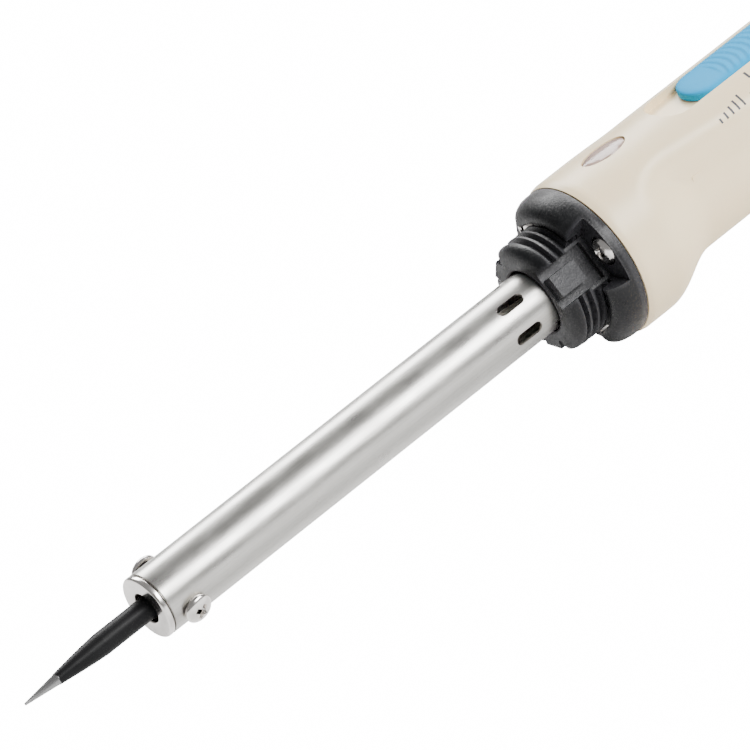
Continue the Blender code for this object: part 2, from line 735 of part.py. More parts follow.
def slider():
    """Knob with its post, and the wiper whose lever stands in the post."""
    knob = add("slider_knob", knob_mesh(), BLUE_PLASTIC, CARRIAGE)
    post_low = POT_TOP + GAP - TROUGH_FLOOR
    post_height = 1.0 - post_low
    post_spot = (0, 0, post_low + post_height / 2)
    post = box("knob_post", post_spot, (POST_LENGTH, POST_WIDTH, post_height), None, CARRIAGE)
    join(knob, post)
    lever_top = 0.9
    socket_size = (LEVER[0] + 2 * GAP, LEVER[1] + 2 * GAP, 6)
    socket_spot = (0, 0, lever_top + GAP - 3)
    cut(knob, box("knob_socket", socket_spot, socket_size, None, CARRIAGE))
    lever_low = 8.2 - TROUGH_FLOOR
    lever_spot = (0, 0, (lever_top + lever_low) / 2)
    lever_size = (*LEVER, lever_top - lever_low)
    wiper = box("wiper_lever", lever_spot, lever_size, TIN, CARRIAGE)
    foot_spot = (0, 0, lever_low + 0.5)
    join(wiper, box("wiper_foot", foot_spot, (4.6, 2.4, 1.2), None, CARRIAGE))


def slide_pot():
    """Slide potentiometer under the trough, open on top for the lever."""
    length = FORWARD_TRAVEL + REAR_TRAVEL + 13
    middle = KNOB_MID + (REAR_TRAVEL - FORWARD_TRAVEL) / 2
    low = BOARD_TOP + GAP
    body = box("slide_pot_body", (middle, 0, (low + POT_TOP) / 2), (length, 7.2, POT_TOP - low), TIN)
    track = FORWARD_TRAVEL + REAR_TRAVEL + 6
    cut(body, box("pot_track", (middle, 0, 9.2), (track, 3.2, 2.6)))
    cut(body, box("pot_slot", (middle, 0, 11), (track, 2.0, 3)))


def board():
    """Control board and what is soldered on it."""
    middle_height = BOARD_TOP - BOARD_THICK / 2
    box("control_board", (58, 0, middle_height), (76, BOARD_WIDTH, BOARD_THICK), BOARD_GREEN)
    top = BOARD_TOP + GAP
    box("triac", (77, -2.5, top + 2.1), (8.0, 5.4, 4.2), BODY_DARK)
    box("film_capacitor", (77, 3.0, top + 2.1), (7.4, 3.8, 4.2), BLUE_PLASTIC)
    low = BOARD_TOP - BOARD_THICK - GAP
    box("snubber_capacitor", (48, 0, low - 3.0), (10, 5, 6.0), BODY_DARK)
    for i, s in enumerate((62, 66.5)):
        resistor = rod(f"resistor_{i + 1}", -3, 3, (0, 0), 1.1, 12, CERAMIC)
        resistor.location = (s * MM, 0, (low - 1.4) * MM)
        resistor.rotation_euler = (0, 0, pi / 2)
    rod("diac", 70.0, 74.0, (3.0, low - 1.2), 0.95, 12, LAMP_GLASS)


def terminals():
    """Screw block at the rear of the board, where the mains cord would land."""
    top = BOARD_TOP + GAP
    block = box("terminal_block", (89.5, 0, top + 2.6), (9.0, 11.0, 5.2), BLACK_PLASTIC)
    mesh = screw_mesh("terminal_screw", 1.5, 1.0, 1.0, 2.6, 2.0)
    for i, side in enumerate((-2.75, 2.75)):
        entry = rod(f"wire_entry_{i + 1}", 87, 95, (side, top + 1.5), 1.1, 10)
        cut(block, entry)
        cut(block, box(f"screw_well_{i + 1}", (88.5, side, top + 5), (2.8, 2.8, 5)))
        add(f"terminal_screw_{i + 1}", mesh, TIN, AXIS, (88.5, side, top + 5.3))


def cord_clamp():
    """Bar and two screws that would grip the mains cord, on posts inside the handle."""
    bar_s = 101
    low = -1.5
    bar = box("cord_clamp_bar", (bar_s, 0, low), (5, 17, 2.2), BLACK_PLASTIC)
    mesh = screw_mesh("clamp_screw", 2.0, 1.4, 1.0, 6.5, 2.4)
    posts = []
    for i, side in enumerate((-6.3, 6.3)):
        hole_height = low + 1.1 + GAP
        cut(bar, upright_hole(f"bar_hole_{i + 1}", (bar_s, side, low), 1.3, 4))
        add(f"clamp_screw_{i + 1}", mesh, TIN, AXIS, (bar_s, side, hole_height))
        posts.append((f"clamp_post_{i + 1}", (bar_s, side, low - 1.1 - GAP)))
    return posts


def upright_hole(name, centre, radius, height):
    work = bmesh.new()
    bmesh.ops.create_cone(
        work, cap_ends=True, segments=12, radius1=radius * MM, radius2=radius * MM, depth=height * MM
    )
    return add(name, mesh_from(work, name), None, AXIS, centre)


def clamp_posts(posts):
    """Two posts on the handle's floor that take the clamp screws."""
    shell = bpy.data.objects["handle_shell"]
    for name, (s, y, top) in posts:
        foot = -11.0
        join(shell, box(name, (s, y, (top + foot) / 2), (5, 4.4, top - foot)))
        hole = upright_hole(f"{name}_hole", (s, y, top - 2.6), 1.3, 5.4)
        cut(shell, hole)


def cord_bush():
    """Rubber bush in the rear inlet, with a groove that grips the handle's wall."""
    bore = CORD_HOLE_R
    neck = CORD_HOLE_R + 1.6
    outline = [(bore + 3.2, IRON_END), (6.9, HANDLE_LENGTH + 1.4), (6.9, HANDLE_LENGTH + GAP)]
    outline += [(neck, HANDLE_LENGTH + GAP), (neck, 109.6), (bore, 109.6), (bore, IRON_END)]
    turned("cord_bush", outline, RUBBER, 24)


def main():
    tip()
    end_cap()
    tip_screws()
    barrel()
    heater()
    heater_leads()
    nose_collar()
    nose_screws()
    mounting_plate()
    handle()
    lens()
    lamp()
    slider()
    slide_pot()
    board()
    terminals()
    clamp_posts(cord_clamp())
    cord_bush()


main()
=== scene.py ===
# %% [markdown]
# # A soldering iron
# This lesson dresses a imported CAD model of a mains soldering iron. The CAD model is the frame: it holds
# every size and the slider's joint. The visible pieces are made again here with finer meshes and real
# finishes, and each one rides on the CAD body that it belongs to.

# %% Load the frame
import json
from math import atan2, cos, hypot, pi, radians, sin, tan

import bmesh
import bpy
from mathutils import Matrix, Vector

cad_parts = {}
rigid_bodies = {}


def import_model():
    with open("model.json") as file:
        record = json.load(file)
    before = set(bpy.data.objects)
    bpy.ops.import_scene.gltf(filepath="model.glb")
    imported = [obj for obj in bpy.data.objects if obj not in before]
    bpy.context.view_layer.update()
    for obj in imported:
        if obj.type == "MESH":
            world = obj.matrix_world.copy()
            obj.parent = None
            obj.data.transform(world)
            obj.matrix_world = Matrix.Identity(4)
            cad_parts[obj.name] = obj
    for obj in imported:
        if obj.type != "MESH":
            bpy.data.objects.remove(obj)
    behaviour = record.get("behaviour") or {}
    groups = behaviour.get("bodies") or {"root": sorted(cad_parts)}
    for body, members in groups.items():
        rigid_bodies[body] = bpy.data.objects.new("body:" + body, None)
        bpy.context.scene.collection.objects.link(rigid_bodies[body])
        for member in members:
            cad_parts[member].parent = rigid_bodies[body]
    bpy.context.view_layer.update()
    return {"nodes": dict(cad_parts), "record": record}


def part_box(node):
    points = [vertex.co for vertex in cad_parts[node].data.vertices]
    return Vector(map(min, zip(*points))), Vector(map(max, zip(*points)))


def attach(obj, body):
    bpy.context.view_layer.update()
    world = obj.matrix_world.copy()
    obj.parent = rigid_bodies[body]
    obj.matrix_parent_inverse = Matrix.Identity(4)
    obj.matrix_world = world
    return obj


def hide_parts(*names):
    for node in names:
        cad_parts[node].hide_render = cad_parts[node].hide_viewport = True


for leftover in list(bpy.data.objects):
    bpy.data.objects.remove(leftover)
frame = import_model()

# %% [markdown]
# The iron is a turned thing, so its pieces are modelled in millimetres on its own axis: X runs from the
# tip to the handle and starts at the rim, where the black collar meets the handle. `settle` later shrinks
# a finished mesh to metres and moves it to its place. All places along the axis come from the CAD boxes.

# %% The axis and the places along it
MM = 0.001
GAP = 0.3
tube_low, tube_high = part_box("barrel_tube")
RIM_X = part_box("nose_collar")[1].x + GAP / 2 * MM
AXIS_Z = (tube_low.z + tube_high.z) / 2
TO_WORLD = Matrix.Translation((RIM_X, 0, AXIS_Z)) @ Matrix.Scale(MM, 4)


def along(x):
    """Millimetres from the rim to a place on X."""
    return (x - RIM_X) / MM


BARREL_FRONT = along(tube_low.x)
COLLAR_FRONT = along(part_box("nose_collar")[0].x)
CAP_FRONT = along(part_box("barrel_end_cap")[0].x)
TIP_POINT = along(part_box("soldering_tip")[0].x)
TIP_BACK = along(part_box("soldering_tip")[1].x)
HANDLE_END = along(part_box("handle_shell")[1].x)
BUSH_END = along(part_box("cord_bush")[1].x)
BARREL_R = (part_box("barrel_end_cap")[1].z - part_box("barrel_end_cap")[0].z) / 2 / MM
REST_HEIGHT = AXIS_Z / MM
print(f"barrel from {BARREL_FRONT:.1f} to the collar at {COLLAR_FRONT:.1f}, tip at {TIP_POINT:.1f} mm")

# %% [markdown]
# ## Helpers for shapes
# Four helpers cover nearly everything. `turned` spins a profile round the axis, `rounded` gives the
# profile's corners a radius, `block` makes a box, and `carve` runs Booleans and keeps the result as a
# plain mesh.


# %% Profiles and spins
def rounded(corners, steps=5):
    """A profile from (s, radius, corner radius) points, with an arc at each corner that has a radius."""
    points = []
    for i, (s, r, size) in enumerate(corners):
        here = Vector((s, r))
        if not size or i in (0, len(corners) - 1):
            points.append(here)
            continue
        back = (Vector(corners[i - 1][:2]) - here).normalized()
        ahead = (Vector(corners[i + 1][:2]) - here).normalized()
        half = back.angle(ahead) / 2
        reach = size / tan(half)
        centre = here + (back + ahead).normalized() * size / sin(half)
        first, last = here + back * reach - centre, here + ahead * reach - centre
        sweep = first.angle_signed(last)
        for k in range(steps + 1):
            points.append(centre + Matrix.Rotation(-sweep * k / steps, 2) @ first)
    return points


def arc(centre, radii, start, end, steps):
    """Points on an ellipse arc in (s, radius), by angle in degrees from the s direction."""
    angles = [radians(start + (end - start) * i / steps) for i in range(steps + 1)]
    return [Vector((centre[0] + radii[0] * cos(a), centre[1] + radii[1] * sin(a))) for a in angles]


def turned(points, segments=96, ring=False):
    """A bmesh of the profile spun round the axis. A ring's profile is a closed loop."""
    work = bmesh.new()
    verts = [work.verts.new((point[0], 0, point[1])) for point in points]
    edges = [work.edges.new(pair) for pair in zip(verts, verts[1:])]
    if ring:
        edges.append(work.edges.new((verts[-1], verts[0])))
    bmesh.ops.spin(
        work, geom=verts + edges, cent=(0, 0, 0), axis=(1, 0, 0), angle=2 * pi, steps=segments, use_merge=True
    )
    bmesh.ops.remove_doubles(work, verts=work.verts[:], dist=0.0005)
    bmesh.ops.recalc_face_normals(work, faces=work.faces[:])
    return work


# %% Boxes, rods and turning round the axis
def block(centre, size, turn=0):
    """A box in the axis frame, then turned round the axis by degrees from the top towards -Y."""
    work = bmesh.new()
    bmesh.ops.create_cube(work, size=1.0)
    bmesh.ops.scale(work, vec=size, verts=work.verts[:])
    bmesh.ops.translate(work, vec=centre, verts=work.verts[:])
    return swung(work, turn)


def swung(work, turn):
    bmesh.ops.rotate(work, matrix=Matrix.Rotation(radians(turn), 3, "X"), verts=work.verts[:])
    return work


def upright_rod(s, low, high, radius, turn=0, segments=32):
    """A rod that points away from the axis."""
    work = bmesh.new()
    bmesh.ops.create_cone(
        work, cap_ends=True, segments=segments, radius1=radius, radius2=radius, depth=high - low
    )
    bmesh.ops.translate(work, vec=(s, 0, (low + high) / 2), verts=work.verts[:])
    return swung(work, turn)


def lying_rod(start, end, height, radius, turn=0, segments=32):
    """A rod along the axis at a height above it."""
    work = bmesh.new()
    bmesh.ops.create_cone(
        work, cap_ends=True, segments=segments, radius1=radius, radius2=radius, depth=end - start
    )
    bmesh.ops.rotate(work, matrix=Matrix.Rotation(pi / 2, 3, "Y"), verts=work.verts[:])
    bmesh.ops.translate(work, vec=((start + end) / 2, 0, height), verts=work.verts[:])
    return swung(work, turn)


def loose(work, name):
    """An object from a bmesh, still in millimetres."""
    mesh = bpy.data.meshes.new(name)
    work.to_mesh(mesh)
    work.free()
    made = bpy.data.objects.new(name, mesh)
    bpy.context.scene.collection.objects.link(made)
    return made


def bake(piece):
    """Keeps the piece as its modifiers show it."""
    bpy.context.view_layer.update()
    graph = bpy.context.evaluated_depsgraph_get()
    mesh = bpy.data.meshes.new_from_object(piece.evaluated_get(graph))
    piece.modifiers.clear()
    piece.data = mesh


def carve(piece, tools, operation="DIFFERENCE"):
    """Cuts the tools out of the piece, or joins them to it."""
    helpers = [loose(work, f"tool_{i}") for i, work in enumerate(tools)]
    for helper in helpers:
        step = piece.modifiers.new("carve", "BOOLEAN")
        step.operation = operation
        step.object = helper
    bake(piece)
    for helper in helpers:
        bpy.data.objects.remove(helper)


def soften(piece, width, segments=2, angle=35):
    """Rounds the sharp edges, as every moulded, turned or stamped piece has them."""
    step = piece.modifiers.new("soft_edges", "BEVEL")
    step.width = width
    step.segments = segments
    step.limit_method = "ANGLE"
    step.angle_limit = radians(angle)
    step.harden_normals = False
    bake(piece)


# %% Settling a finished piece
def settle(piece, body, finish, nodes=(), sharp=40):
    """Moves the mesh to its place in metres, shades it smooth and hands it to its body."""
    piece.data.transform(TO_WORLD)
    piece.data.materials.clear()
    piece.data.materials.append(finish)
    piece.data.shade_smooth()
    piece.data.set_sharp_from_angle(angle=radians(sharp))
    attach(piece, body)
    if nodes:
        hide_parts(*nodes)
    print(f"{piece.name}: {len(piece.data.polygons)} faces, for {', '.join(nodes) or 'no node'}")
    return piece


# %% [markdown]
# ## Finishes
# Each finish starts from the same question: what does light do on the real surface? Moulded plastic has
# a faint grain and slow changes of gloss. Drawn tube has long fine lines. Plated parts are smooth, with
# a little haze. Three node groups hold what more than one finish needs, and every material places them
# with its own values. All of them read Object coordinates, so a pattern stays on its piece.


# %% Small helpers for nodes
def socket(group, name, kind, direction, value=None):
    made = group.interface.new_socket(name=name, in_out=direction, socket_type=f"NodeSocket{kind}")
    if value is not None:
        made.default_value = value


def math_node(tree, operation, first, second, clamp=False):
    """A Math node. Each operand is a number or a socket."""
    node = tree.nodes.new("ShaderNodeMath")
    node.operation = operation
    node.use_clamp = clamp
    for slot, value in zip(node.inputs, (first, second)):
        if isinstance(value, (int, float)):
            slot.default_value = value
        else:
            tree.links.new(value, slot)
    return node.outputs[0]


def noise(tree, vector, scale, detail=4.0, rough=0.55):
    """A Noise Texture's value. Scale is a number or a socket."""
    node = tree.nodes.new("ShaderNodeTexNoise")
    node.inputs["Detail"].default_value = detail
    node.inputs["Roughness"].default_value = rough
    tree.links.new(vector, node.inputs["Vector"])
    if isinstance(scale, (int, float)):
        node.inputs["Scale"].default_value = scale
    else:
        tree.links.new(scale, node.inputs["Scale"])
    return node.outputs["Fac"]


def blend_colours(tree, factor, first, second):
    """Mixes two colours, each a colour or a socket."""
    node = tree.nodes.new("ShaderNodeMix")
    node.data_type = "RGBA"
    tree.links.new(factor, node.inputs["Factor"])
    for name, value in (("A", first), ("B", second)):
        slot = next(s for s in node.inputs if s.name == name and s.type == "RGBA")
        if isinstance(value, tuple):
            slot.default_value = (*value, 1.0)
        else:
            tree.links.new(value, slot)
    return next(s for s in node.outputs if s.type == "RGBA")


# %% Group: surface grain
def grain_group():
    """Fine grain and slow mottling, as a colour shift, a roughness and a normal."""
    group = bpy.data.node_groups.new("surface_grain", "ShaderNodeTree")
    socket(group, "Vector", "Vector", "INPUT")
    socket(group, "Grain", "Float", "INPUT", 3.0)
    socket(group, "Mottle", "Float", "INPUT", 0.3)
    socket(group, "Light", "Color", "INPUT")
    socket(group, "Dark", "Color", "INPUT")
    socket(group, "Smoothest", "Float", "INPUT", 0.3)
    socket(group, "Roughest", "Float", "INPUT", 0.5)
    socket(group, "Relief", "Float", "INPUT", 0.1)
    socket(group, "Colour", "Color", "OUTPUT")
    socket(group, "Roughness", "Float", "OUTPUT")
    socket(group, "Normal", "Vector", "OUTPUT")
    given = group.nodes.new("NodeGroupInput").outputs
    result = group.nodes.new("NodeGroupOutput").inputs
    fine = noise(group, given["Vector"], given["Grain"], 5.0, 0.6)
    slow = noise(group, given["Vector"], given["Mottle"], 3.0)
    both = math_node(group, "ADD", math_node(group, "MULTIPLY", fine, 0.4), math_node(group, "MULTIPLY", slow, 0.6))
    spread = group.nodes.new("ShaderNodeMapRange")
    spread.inputs["From Min"].default_value = 0.35
    spread.inputs["From Max"].default_value = 0.65
    group.links.new(both, spread.inputs["Value"])
    part = spread.outputs["Result"]
    group.links.new(blend_colours(group, part, given["Dark"], given["Light"]), result["Colour"])
    rough = group.nodes.new("ShaderNodeMapRange")
    group.links.new(part, rough.inputs["Value"])
    group.links.new(given["Smoothest"], rough.inputs["To Min"])
    group.links.new(given["Roughest"], rough.inputs["To Max"])
    group.links.new(rough.outputs["Result"], result["Roughness"])
    bump = group.nodes.new("ShaderNodeBump")
    bump.inputs["Distance"].default_value = 0.1 * MM
    group.links.new(given["Relief"], bump.inputs["Strength"])
    group.links.new(fine, bump.inputs["Height"])
    group.links.new(bump.outputs["Normal"], result["Normal"])
    return group


GRAIN = grain_group()


# %% Group: drawn lines
def drawn_group():
    """Long fine lines along X, as a value round a half and a slower haze."""
    group = bpy.data.node_groups.new("drawn_lines", "ShaderNodeTree")
    socket(group, "Vector", "Vector", "INPUT")
    socket(group, "Fineness", "Float", "INPUT", 4.0)
    socket(group, "Lines", "Float", "OUTPUT")
    socket(group, "Haze", "Float", "OUTPUT")
    given = group.nodes.new("NodeGroupInput").outputs
    result = group.nodes.new("NodeGroupOutput").inputs
    stretch = group.nodes.new("ShaderNodeMapping")
    stretch.inputs["Scale"].default_value = (0.03, 1.0, 1.0)
    group.links.new(given["Vector"], stretch.inputs["Vector"])
    lines = noise(group, stretch.outputs["Vector"], given["Fineness"], 6.0, 0.7)
    group.links.new(lines, result["Lines"])
    slow = group.nodes.new("ShaderNodeMapping")
    slow.inputs["Scale"].default_value = (0.12, 0.35, 0.35)
    group.links.new(given["Vector"], slow.inputs["Vector"])
    group.links.new(noise(group, slow.outputs["Vector"], 1.0, 3.0), result["Haze"])
    return group


DRAWN = drawn_group()


# %% Group: worn edges
def wear_group():
    """A mask that is 1 on rubbed edges and 0 elsewhere."""
    group = bpy.data.node_groups.new("worn_edges", "ShaderNodeTree")
    socket(group, "Vector", "Vector", "INPUT")
    socket(group, "Amount", "Float", "INPUT", 0.5)
    socket(group, "Mask", "Float", "OUTPUT")
    given = group.nodes.new("NodeGroupInput").outputs
    result = group.nodes.new("NodeGroupOutput").inputs
    shape = group.nodes.new("ShaderNodeNewGeometry")
    edge = group.nodes.new("ShaderNodeMapRange")
    edge.inputs["From Min"].default_value = 0.52
    edge.inputs["From Max"].default_value = 0.62
    group.links.new(shape.outputs["Pointiness"], edge.inputs["Value"])
    broken = noise(group, given["Vector"], 1.4, 5.0, 0.65)
    mask = math_node(group, "MULTIPLY", edge.outputs["Result"], broken)
    group.links.new(math_node(group, "MULTIPLY", mask, given["Amount"], True), result["Mask"])
    return group


WEAR = wear_group()


# %% A finish on the shared groups
def place_group(tree, group, vector, **values):
    """One of the groups in a material. A word in `values` is an input's name in lower case."""
    node = tree.nodes.new("ShaderNodeGroup")
    node.node_tree = group
    tree.links.new(vector, node.inputs["Vector"])
    for word, value in values.items():
        slot = node.inputs[word.capitalize()]
        slot.default_value = (*value, 1.0) if isinstance(value, tuple) else value
    return node


def blank_finish(name, metallic=0.0):
    """A material, its tree, its shader and its coordinates in millimetres from the rim on the axis."""
    made = bpy.data.materials.new(name)
    made.use_nodes = True
    tree = made.node_tree
    shader = tree.nodes["Principled BSDF"]
    shader.inputs["Metallic"].default_value = metallic
    source = tree.nodes.new("ShaderNodeTexCoord")
    centred = tree.nodes.new("ShaderNodeMapping")
    centred.inputs["Location"].default_value = (-RIM_X / MM, 0, -AXIS_Z / MM)
    centred.inputs["Scale"].default_value = (1 / MM, 1 / MM, 1 / MM)
    tree.links.new(source.outputs["Object"], centred.inputs["Vector"])
    return made, tree, shader, centred.outputs["Vector"]


def grained(name, light, dark, smoothest, roughest, relief, grain, mottle, metallic=0.0, wear=None):
    """A finish from the grain group, and a paler colour on its edges where `wear` gives one."""
    made, tree, shader, vector = blank_finish(name, metallic)
    node = place_group(
        tree, GRAIN, vector, light=light, dark=dark, smoothest=smoothest, roughest=roughest,
        relief=relief, grain=grain, mottle=mottle,
    )
    colour = node.outputs["Colour"]
    if wear:
        worn = place_group(tree, WEAR, vector, amount=0.8)
        colour = blend_colours(tree, worn.outputs["Mask"], colour, wear)
    tree.links.new(colour, shader.inputs["Base Color"])
    tree.links.new(node.outputs["Roughness"], shader.inputs["Roughness"])
    tree.links.new(node.outputs["Normal"], shader.inputs["Normal"])
    return made


# %% Plastics and small materials
CREAM = grained(
    "cream_plastic", (0.93, 0.76, 0.49), (0.91, 0.74, 0.475), 0.30, 0.36, 0.03, 1.6, 0.08
)
CREAM.node_tree.nodes["Principled BSDF"].inputs["Subsurface Weight"].default_value = 0.12
CREAM.node_tree.nodes["Principled BSDF"].inputs["Subsurface Radius"].default_value = (0.002, 0.0016, 0.001)
BLACK = grained(
    "black_plastic", (0.008, 0.008, 0.009), (0.003, 0.003, 0.004), 0.25, 0.5, 0.8, 2.6, 0.45,
    wear=(0.05, 0.05, 0.055),
)
BLUE = grained(
    "blue_plastic", (0.0, 0.32, 0.64), (0.0, 0.31, 0.62), 0.45, 0.5, 0.03, 1.6, 0.15
)
RUBBER = grained("black_rubber", (0.026, 0.026, 0.027), (0.014, 0.014, 0.015), 0.6, 0.8, 0.3, 3.0, 0.5)
NICKEL = grained(
    "bright_nickel", (0.88, 0.85, 0.82), (0.74, 0.71, 0.68), 0.14, 0.24, 0.08, 1.2, 0.5, metallic=1.0
)
for finish, level in ((BLACK, 0.3), (BLUE, 0.05)):
    finish.node_tree.nodes["Principled BSDF"].inputs["Specular IOR Level"].default_value = level
INK = grained("dark_print", (0.06, 0.06, 0.07), (0.04, 0.04, 0.045), 0.5, 0.6, 0.05, 4.0, 1.0)
print("plastics, nickel and print ready")


# %% Drawn steel for the barrel
def steel_finish():
    made, tree, shader, vector = blank_finish("satin_steel", 1.0)
    drawn = place_group(tree, DRAWN, vector, fineness=3.0)
    colour = blend_colours(tree, drawn.outputs["Lines"], (0.39, 0.38, 0.36), (0.62, 0.61, 0.58))
    tree.links.new(colour, shader.inputs["Base Color"])
    rough = tree.nodes.new("ShaderNodeMapRange")
    rough.inputs["From Min"].default_value = 0.3
    rough.inputs["From Max"].default_value = 0.7
    rough.inputs["To Min"].default_value = 0.26
    rough.inputs["To Max"].default_value = 0.38
    tree.links.new(drawn.outputs["Haze"], rough.inputs["Value"])
    tree.links.new(rough.outputs["Result"], shader.inputs["Roughness"])
    bump = tree.nodes.new("ShaderNodeBump")
    bump.inputs["Strength"].default_value = 0.06
    bump.inputs["Distance"].default_value = 0.05 * MM
    tree.links.new(drawn.outputs["Lines"], bump.inputs["Height"])
    tree.links.new(bump.outputs["Normal"], shader.inputs["Normal"])
    return made


STEEL = steel_finish()

# %% [markdown]
# The tip is copper plated with iron. Its shank is blackened so that solder doesn't climb it, and only the
# working cone is tinned. One material holds both finishes: a mask along the axis changes from black to
# tin over a fraction of a millimetre, and a little noise keeps the border from being a ruled line.

# %% Tip finish
CONE_LENGTH = 7.1
CONE_BACK = TIP_POINT + CONE_LENGTH


def tip_finish():
    made, tree, shader, vector = blank_finish("tip_plating")
    place = tree.nodes.new("ShaderNodeSeparateXYZ")
    tree.links.new(vector, place.inputs["Vector"])
    ragged = math_node(tree, "MULTIPLY", noise(tree, vector, 1.6, 3.0), 0.5)
    shifted = math_node(tree, "ADD", place.outputs["X"], ragged)
    border = tree.nodes.new("ShaderNodeMapRange")
    border.inputs["From Min"].default_value = CONE_BACK + 0.22
    border.inputs["From Max"].default_value = CONE_BACK + 0.34
    tree.links.new(shifted, border.inputs["Value"])
    black = border.outputs["Result"]
    drawn = place_group(tree, DRAWN, vector, fineness=5.0)
    soot = blend_colours(tree, drawn.outputs["Haze"], (0.004, 0.004, 0.004), (0.012, 0.012, 0.013))
    tin = blend_colours(tree, drawn.outputs["Haze"], (0.22, 0.22, 0.22), (0.42, 0.42, 0.42))
    tree.links.new(blend_colours(tree, black, tin, soot), shader.inputs["Base Color"])
    metal = tree.nodes.new("ShaderNodeMapRange")
    metal.inputs["To Min"].default_value = 0.85
    metal.inputs["To Max"].default_value = 0.0
    shader.inputs["Specular IOR Level"].default_value = 0.1
    tree.links.new(black, metal.inputs["Value"])
    tree.links.new(metal.outputs["Result"], shader.inputs["Metallic"])
    rough = math_node(tree, "ADD", math_node(tree, "MULTIPLY", drawn.outputs["Lines"], 0.25), 0.28)
    tree.links.new(rough, shader.inputs["Roughness"])
    bump = tree.nodes.new("ShaderNodeBump")
    bump.inputs["Strength"].default_value = 0.25
    bump.inputs["Distance"].default_value = 0.05 * MM
    tree.links.new(drawn.outputs["Lines"], bump.inputs["Height"])
    tree.links.new(bump.outputs["Normal"], shader.inputs["Normal"])
    return made


TIP_PLATING = tip_finish()


# %% Clear lens
def lens_finish():
    made, tree, shader, vector = blank_finish("clear_lens")
    node = place_group(
        tree, GRAIN, vector, light=(0.80, 0.62, 0.54), dark=(0.52, 0.38, 0.33), smoothest=0.06,
        roughest=0.16, relief=0.1, grain=0.6, mottle=0.3,
    )
    tree.links.new(node.outputs["Colour"], shader.inputs["Base Color"])
    tree.links.new(node.outputs["Roughness"], shader.inputs["Roughness"])
    tree.links.new(node.outputs["Normal"], shader.inputs["Normal"])
    shader.inputs["Transmission Weight"].default_value = 0.45
    shader.inputs["IOR"].default_value = 1.49
    return made


LENS = lens_finish()

# %% [markdown]
# ## The pieces inside
# Nothing inside shows much: the heater through the vents, the lamp through its lens. The CAD solids are
# good enough there, so they stay and only get their finishes, by the material slot that the record gives.

# %% Finishes for the CAD pieces that stay
INSIDE = {
    "heater_ceramic": grained("heater_ceramic", (0.70, 0.67, 0.60), (0.60, 0.57, 0.50), 0.5, 0.7, 0.4, 2.5, 0.4),
    "mica_paper": grained("mica_paper", (0.10, 0.085, 0.07), (0.04, 0.035, 0.03), 0.4, 0.6, 0.3, 1.5, 0.4),
    "heater_wire": grained("heater_wire", (0.40, 0.36, 0.33), (0.25, 0.22, 0.20), 0.3, 0.5, 0.2, 3.0, 0.5, 1.0),
    "silicone_sleeving": grained(
        "silicone_sleeving", (0.72, 0.68, 0.60), (0.65, 0.61, 0.54), 0.5, 0.6, 0.2, 2.0, 0.4
    ),
    "fibre_plate": grained("fibre_plate", (0.28, 0.12, 0.055), (0.19, 0.08, 0.035), 0.6, 0.8, 0.5, 2.0, 0.6),
    "circuit_board": grained("circuit_board", (0.02, 0.17, 0.07), (0.01, 0.12, 0.05), 0.3, 0.45, 0.2, 1.5, 0.3),
    "component_body": grained("component_body", (0.04, 0.04, 0.042), (0.02, 0.02, 0.022), 0.4, 0.6, 0.3, 2.5, 0.5),
    "tinned_metal": grained("tinned_metal", (0.72, 0.72, 0.71), (0.55, 0.55, 0.54), 0.2, 0.4, 0.2, 2.0, 0.5, 1.0),
    "lamp_glass": grained("lamp_glass", (0.90, 0.42, 0.22), (0.80, 0.33, 0.16), 0.08, 0.15, 0.05, 1.0, 0.4),
    "black_plastic": BLACK,
    "satin_steel": STEEL,
    "bright_nickel": NICKEL,
    "black_tip_plating": TIP_PLATING,
    "cream_plastic": CREAM,
    "blue_plastic": BLUE,
    "clear_lens": LENS,
    "black_rubber": RUBBER,
}
for part in frame["record"]["subparts"]:
    solid = frame["nodes"][part["node"]].data
    solid.materials.clear()
    solid.materials.append(INSIDE[part["material_slot"]])

# %% [markdown]
# ## The tip
# A turned rod: a plain shank, a long blackened taper and a slim tinned cone. The cone starts a hair
# thinner than the black plating, which is what draws the fine step between the two.

# %% Model the tip
TIP_R = 2.1
TAPER = 10.0
CONE_R = 1.1
POINT_R = 0.25


def tip():
    corners = [(TIP_POINT, 0, 0), (TIP_POINT + 0.05, POINT_R, 0.05), (CONE_BACK, CONE_R - 0.07, 0)]
    corners.append((CONE_BACK + 0.04, CONE_R, 0.02))
    for place, out in ((0.4, 0.46), (0.7, 0.77), (1.0, 1.0)):  # a convex taper
        corners.append((CONE_BACK + TAPER * place, CONE_R + (TIP_R - CONE_R) * out, 4))
    corners += [(TIP_BACK, TIP_R, 0.3), (TIP_BACK, 0, 0)]
    piece = loose(turned(rounded(corners), 64), "tip_rod")
    return settle(piece, "iron", TIP_PLATING, ["soldering_tip"], 60)


tip()

# %% [markdown]
# ## End cap and screws
# The cap is a nickel-plated plug. Its front edge is rolled over, and its mouth is a sharp-edged hole
# that leaves a ring of shadow round the tip. The two screws, face to face, are pan heads with a cross recess: a
# flat dome is spun, and a tapered cross is cut out of it.

# %% Model the end cap
CAP_THICK = 1.05
CAP_BACK = CAP_FRONT + CAP_THICK
PLUG_R = BARREL_R - 0.75
MOUTH_R = 2.9
SCREW_S = BARREL_FRONT + 4.4
PLUG_BACK = SCREW_S + 4.6
SCREW_TURNS = (-70, 110)


